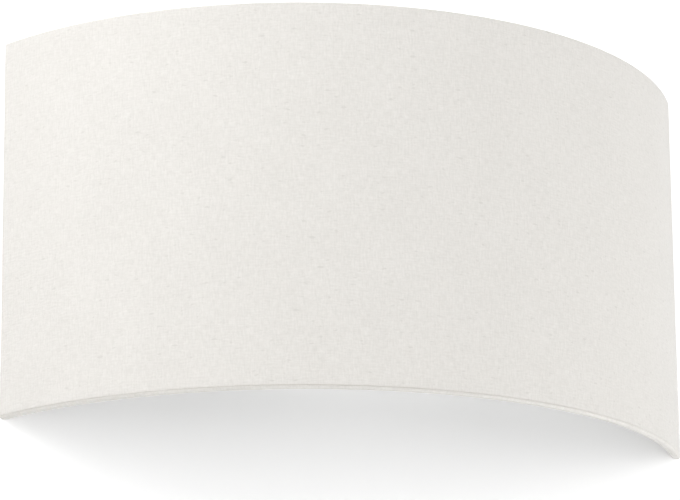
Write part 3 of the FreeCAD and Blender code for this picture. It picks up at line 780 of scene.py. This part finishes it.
        outer = (x_at(self.radius - self.cloth_wall - half, -half), -half)
        corner = (x_at(inner_r, -half), -half)
        lip = (x_at(inner_r, -self.lip_height), -self.lip_height)
        flat_path = np.array([outer, corner])
        full_path = rounded_path([outer, corner, lip], [self.inner_fold])
        plate_low, plate_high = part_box(f"{side.name.lower()}_hanger_plate")
        below, above = plate_low.z - self.plate_gap, plate_high.z + self.plate_gap
        start, stop = self.low.z + self.seam_height, self.high.z - self.seam_height
        runs = [(start, below, full_path), (below, above, flat_path), (above, stop, full_path)]
        points, faces, uvs = [], [], []
        count = 0
        for low_z, high_z, path in runs:
            loop = strip_loop(path, self.cloth_wall) * np.array([side.value, 1])
            heights = np.linspace(low_z, high_z, self.side_steps)[:, None]
            levels = np.broadcast_to(heights, (self.side_steps, len(loop)))
            plan = np.broadcast_to(loop, (*levels.shape, 2))
            rings = np.concatenate([plan, levels[..., None]], axis=-1)
            run_faces = swept_loop(rings, count)
            if side is Side.LEFT:
                run_faces = [face[::-1] for face in run_faces]
            uv = np.stack([np.broadcast_to(walked(loop), levels.shape), levels], axis=-1)
            points.append(rings.reshape(-1, 3))
            uvs.append(uv.reshape(-1, 2))
            faces += run_faces
            count += levels.size
        name = f"{side.name.lower()}_end_binding"
        piece = outward(mesh_object(name, np.vstack(points), faces, np.vstack(uvs)))
        self.finish(piece, f"{side.name.lower()}_side_hem")
        return piece

    def finish(self, piece: bpy.types.Object, node: str) -> None:
        """Dresses a cloth piece, sets it on the shade's body and puts it in its node's place.

        Args:
            piece: the piece.
            node: the frame node that it stands for.
        """
        self.wardrobe.dress(piece, Finish.SHADE_CLOTH)
        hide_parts(node)
        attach(piece, Body.SHADE.value)
        LOG.info("cloth piece %s stands for %s", piece.name, node)

    def build(self) -> None:
        skin = self.skin()
        bindings = [self.binding(rim) for rim in Rim] + [self.side_binding(side) for side in Side]


# ------------------------------------------------------------------ threaded pieces


@dataclass
class ThreadedRod:
    """A rod or tube with a real helical thread, about an axis from base along direction."""

    base: Vector
    direction: Vector
    length: float
    radius: float
    pitch: float
    depth: float
    bore: float = 0.0
    plain_start: float = 0.0
    plain_end: float = 0.0
    columns: int = 40
    rows_per_turn: int = 10
    bevel_share: float = 1.3
    rounded: bool = False

    def points(self) -> tuple:
        """Grid of the rod's surface, then its faces.

        The outer radius is the crest radius less depth times a triangle or raised-cosine wave of
        (height / pitch - turn), faded out over the plain ends and at the rod's tips.

        Returns:
            The (n, 3) points and the faces.
        """
        rows = max(8, round(self.length / self.pitch * self.rows_per_turn))
        height = np.linspace(0, self.length, rows)[:, None]
        turn = np.arange(self.columns)[None, :] / self.columns
        phase = (height / self.pitch - turn) % 1.0
        wave = (1 - np.cos(2 * math.pi * phase)) / 2 if self.rounded else 1 - np.abs(2 * phase - 1)
        fade_in = np.clip((height - self.plain_start) / self.pitch, 0, 1)
        fade_out = np.clip((self.length - self.plain_end - height) / self.pitch, 0, 1)
        radii = self.radius - self.depth * wave * fade_in * fade_out
        tip = np.minimum(height, self.length - height)
        bevel = np.clip(self.depth * self.bevel_share - tip, 0, None)
        radii = radii - bevel
        if self.bore:
            inner = np.full((2, self.columns), self.bore)
            radii = np.vstack([radii, inner])
            height = np.vstack([height, [[self.length], [0.0]]])
        angle = 2 * math.pi * turn
        z_axis = self.direction.normalized()
        x_axis = z_axis.orthogonal().normalized()
        y_axis = z_axis.cross(x_axis)
        spoke = np.cos(angle)[..., None] * np.array(x_axis) + np.sin(angle)[..., None] * np.array(y_axis)
        rings = np.array(self.base) + height[..., None] * np.array(z_axis) + radii[..., None] * spoke
        flat = rings.reshape(-1, 3)
        faces = grid_faces(len(height), self.columns)
        last = (len(height) - 1) * self.columns
        if self.bore:
            columns = np.arange(self.columns)
            following = (columns + 1) % self.columns
            closing = np.stack([last + columns, last + following, following, columns], axis=1)
            faces += closing.tolist()
        else:
            faces.append(list(range(self.columns - 1, -1, -1)))
            faces.append(list(range(last, last + self.columns)))
        return flat, faces


@dataclass
class ThreadedPieces:
    """The studs, the hollow nipple and the lamp's cap, with cut or rolled threads."""

    wardrobe: Wardrobe
    stud_pitch: float = 0.7 * MM
    stud_thread: float = 0.38 * MM
    nipple_pitch: float = 1.0 * MM
    nipple_thread: float = 0.5 * MM
    nipple_bore: float = 4.0 * MM
    cap_pitch: float = 3.62 * MM
    cap_thread: float = 0.75 * MM
    cap_rim: float = 2.6 * MM

    def place(self, name: str, rods: list, finish: Finish, node: str, body: Body) -> bpy.types.Object:
        """Makes one piece of several rods and puts it in its node's place.

        Args:
            name: the piece's name.
            rods: the rods that it is made of.
            finish: its finish.
            node: the frame node that it stands for.
            body: the body that it rides on.

        Returns:
            The piece.
        """
        points, faces, count = [], [], 0
        for rod in rods:
            places, own_faces = rod.points()
            points.append(places)
            faces += [[index + count for index in face] for face in own_faces]
            count += len(places)
        piece = outward(mesh_object(name, np.vstack(points), faces))
        self.wardrobe.dress(piece, finish)
        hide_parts(node)
        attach(piece, body.value)
        LOG.info("threaded piece %s stands for %s", name, node)
        return piece

    def studs(self) -> None:
        """Two M4 studs, plain where they pass through the bracket."""
        low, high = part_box("shade_studs")
        bracket_low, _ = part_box("wall_bracket")
        radius = (high.z - low.z) / 2
        rods = [
            ThreadedRod(
                base=Vector((x, high.y, (low.z + high.z) / 2)),
                direction=Vector((0, -1, 0)),
                length=high.y - low.y,
                radius=radius,
                pitch=self.stud_pitch,
                depth=self.stud_thread,
                plain_start=high.y - bracket_low.y,
                columns=28,
            )
            for x in (low.x + radius, high.x - radius)
        ]
        self.place("threaded_studs", rods, Finish.ZINC_STEEL, "shade_studs", Body.BASE)

    def nipple(self) -> None:
        """The M10 hollow nipple with a fine thread all along."""
        low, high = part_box("hollow_nipple")
        rod = ThreadedRod(
            base=Vector(((low.x + high.x) / 2, (low.y + high.y) / 2, low.z)),
            direction=Vector((0, 0, 1)),
            length=high.z - low.z,
            radius=(high.x - low.x) / 2,
            pitch=self.nipple_pitch,
            depth=self.nipple_thread,
            bore=self.nipple_bore,
        )
        self.place("threaded_nipple", [rod], Finish.ZINC_STEEL, "hollow_nipple", Body.BASE)

    def lamp_cap(self) -> None:
        """The lamp's cap with its rolled round thread."""
        low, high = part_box("lamp_cap")
        rod = ThreadedRod(
            base=Vector(((low.x + high.x) / 2, (low.y + high.y) / 2, low.z)),
            direction=Vector((0, 0, 1)),
            length=high.z - low.z,
            radius=(high.x - low.x) / 2,
            pitch=self.cap_pitch,
            depth=self.cap_thread,
            plain_end=self.cap_rim,
            columns=72,
            rows_per_turn=16,
            rounded=True,
        )
        self.place("rolled_lamp_cap", [rod], Finish.LAMP_CAP_METAL, "lamp_cap", Body.LAMP)

    def build(self) -> None:
        """Builds all the threaded pieces."""
        self.studs()
        self.nipple()
        self.lamp_cap()


# ------------------------------------------------------------------ studio


@dataclass
class PhotoCamera:
    """A long lens to the left of and below the shade, looking up at it."""

    place: tuple = (-0.53323, -1.73828, -0.51051)
    yaw: float = 0.2957
    pitch: float = 0.2748
    roll: float = -0.0092
    focal_pixels: float = 3785.8
    photo_width: float = 680.0
    sensor: float = 36.0

    def build(self) -> bpy.types.Object:
        """Aims the camera: forward from yaw and pitch, then right and up turned by the roll.

        Returns:
            The camera object.
        """
        forward = Vector(
            (
                math.sin(self.yaw) * math.cos(self.pitch),
                math.cos(self.yaw) * math.cos(self.pitch),
                math.sin(self.pitch),
            )
        )
        level = Vector((math.cos(self.yaw), -math.sin(self.yaw), 0))
        upright = level.cross(forward)
        right = math.cos(self.roll) * level + math.sin(self.roll) * upright
        up = -math.sin(self.roll) * level + math.cos(self.roll) * upright
        data = bpy.data.cameras.new("photo_camera")
        data.sensor_fit = "HORIZONTAL"
        data.sensor_width = self.sensor
        data.lens = self.focal_pixels / self.photo_width * self.sensor
        camera = bpy.data.objects.new("photo_camera", data)
        turn = Matrix((right, up, -forward)).transposed().to_4x4()
        camera.matrix_world = Matrix.Translation(Vector(self.place)) @ turn
        bpy.context.scene.collection.objects.link(camera)
        bpy.context.scene.camera = camera
        LOG.info("camera looks along %s", tuple(round(c, 3) for c in forward))
        return camera


@dataclass(frozen=True)
class SoftLamp:
    """A square area lamp aimed at a point of the shade."""

    name: str
    place: tuple
    size: float
    power: float
    aim: tuple = (0, -0.05, 0)

    def build(self) -> None:
        """Adds the lamp."""
        data = bpy.data.lights.new(self.name, "AREA")
        data.shape = "SQUARE"
        data.size = self.size
        data.energy = self.power
        lamp = bpy.data.objects.new(self.name, data)
        lamp.location = self.place
        away = Vector(self.place) - Vector(self.aim)
        lamp.rotation_euler = away.to_track_quat("Z", "Y").to_euler()
        bpy.context.scene.collection.objects.link(lamp)


@dataclass
class Studio:
    """White wall behind the light, pale floor well below it, soft lamps and an even white world."""

    wall_gap: float = 0.05 * MM
    touch_distance: float = 1.0 * MM
    wall_half_width: float = 6.0
    wall_top: float = 4.0
    floor_z: float = -2.6
    floor_reach: float = 9.0
    wall_glow: float = 0.325
    floor_glow: float = 0.80
    stage_colour: float = 0.86
    world_strength: float = 0.06
    lamps: tuple = (
        SoftLamp("front_fill", (0, -2.5, 0.3), 1.6, 33.0),
        SoftLamp("key_high_left", (-1.0, -0.9, 1.1), 0.6, 9.8),
        SoftLamp("side_left", (-1.3, -0.35, 0.5), 0.4, 5.0),
        SoftLamp("low_left", (-0.9, -0.5, -1.2), 0.8, 2.6),
        SoftLamp("low_right", (0.9, -0.6, -0.6), 0.5, 3.0),
        SoftLamp("right_edge", (1.1, -0.30, 0.1), 0.5, 3.3),
        SoftLamp("below", (0.0, -0.10, -1.3), 0.4, 3.0, aim=(0, -0.10, 0)),
        SoftLamp("behind", (0.3, 1.9, 0.2), 1.8, 22.0),
    )

    def plane(self, name: str, corners: list, glow: float, lets_lamps_through: bool) -> bpy.types.Object:
        """A flat stage surface, there only from its front, that keeps shadows and reads as white.

        One that lets lamps through is also absent for light that a piece scatters from closer than
        the touch distance, so that the faces lying on the wall don't go dark.

        Args:
            name: the surface's name.
            corners: its corner points, counterclockwise from the front.
            glow: the light that it adds where the camera, gloss or glass sees it.
            lets_lamps_through: whether lamps behind it still reach the light.

        Returns:
            The surface.
        """
        surface = mesh_object(name, np.array(corners, float), [[0, 1, 2, 3]])
        shader = Shader(name)
        shader.surface.inputs["Base Color"].default_value = (*[self.stage_colour] * 3, 1)
        shader.set(Roughness=1.0, Specular_IOR_Level=0.0)
        output = next(n for n in shader.tree.nodes if n.type == "OUTPUT_MATERIAL")
        path = shader.add("ShaderNodeLightPath").outputs
        looked_at = shader.math("MAXIMUM", path["Is Camera Ray"], path["Is Glossy Ray"])
        looked_at = shader.math("MAXIMUM", looked_at, path["Is Transmission Ray"])
        light = shader.add("ShaderNodeEmission")
        shader.join(shader.math("MULTIPLY", looked_at, glow), light.inputs["Strength"])
        lit = shader.add("ShaderNodeAddShader")
        shader.join(shader.surface.outputs["BSDF"], lit.inputs[0])
        shader.join(light.outputs["Emission"], lit.inputs[1])
        there = shader.math("SUBTRACT", 1.0, shader.add("ShaderNodeNewGeometry").outputs["Backfacing"])
        if lets_lamps_through:
            far_off = shader.math("GREATER_THAN", path["Ray Length"], self.touch_distance)
            met = shader.math("MULTIPLY", path["Is Diffuse Ray"], far_off)
            met = shader.math("MAXIMUM", looked_at, met)
            there = shader.math("MULTIPLY", there, met)
        choice = shader.add("ShaderNodeMixShader")
        shader.join(there, choice.inputs["Fac"])
        shader.join(shader.add("ShaderNodeBsdfTransparent").outputs["BSDF"], choice.inputs[1])
        shader.join(lit.outputs["Shader"], choice.inputs[2])
        shader.join(choice.outputs["Shader"], output.inputs["Surface"])
        surface.data.materials.append(shader.material)
        return surface

    def world(self) -> None:
        """An even white world: plain light on the object, pure white to the camera and in gloss."""
        world = bpy.data.worlds.new("studio")
        bpy.context.scene.world = world
        world.use_nodes = True
        tree = world.node_tree
        background = next(n for n in tree.nodes if n.type == "BACKGROUND")
        background.inputs["Color"].default_value = (1, 1, 1, 1)
        path = tree.nodes.new("ShaderNodeLightPath")
        seen = tree.nodes.new("ShaderNodeMath")
        seen.operation = "MAXIMUM"
        tree.links.new(path.outputs["Is Camera Ray"], seen.inputs[0])
        tree.links.new(path.outputs["Is Glossy Ray"], seen.inputs[1])
        strength = tree.nodes.new("ShaderNodeMapRange")
        strength.inputs["To Min"].default_value = self.world_strength
        strength.inputs["To Max"].default_value = 1.0
        tree.links.new(seen.outputs["Value"], strength.inputs["Value"])
        tree.links.new(strength.outputs["Result"], background.inputs["Strength"])

    def build(self) -> None:
        """Sets the colour view, the stage, the lamps and the world."""
        bpy.context.scene.view_settings.view_transform = "Standard"
        left, right = -self.wall_half_width, self.wall_half_width
        gap, bottom, top = self.wall_gap, self.floor_z, self.wall_top
        wall = [(left, gap, bottom), (right, gap, bottom), (right, gap, top), (left, gap, top)]
        self.plane("studio_wall", wall, self.wall_glow, lets_lamps_through=True)
        near, far = -self.floor_reach, self.floor_reach
        floor = [(near, near, bottom), (far, near, bottom), (far, far, bottom), (near, far, bottom)]
        self.plane("studio_floor", floor, self.floor_glow, lets_lamps_through=False)
        for lamp in self.lamps:
            lamp.build()
        self.world()
        LOG.info("studio is set")


def main() -> None:
    """Builds the camera, the finishes, the shade, the threaded pieces and the studio, in that order."""
    logging.basicConfig(level=logging.INFO, format="%(name)s: %(message)s")
    PhotoCamera().build()
    wardrobe = Wardrobe()
    wardrobe.dress_frame()
    Shade(wardrobe).build()
    ThreadedPieces(wardrobe).build()
    Studio().build()


if __name__ == "__main__":
    main()
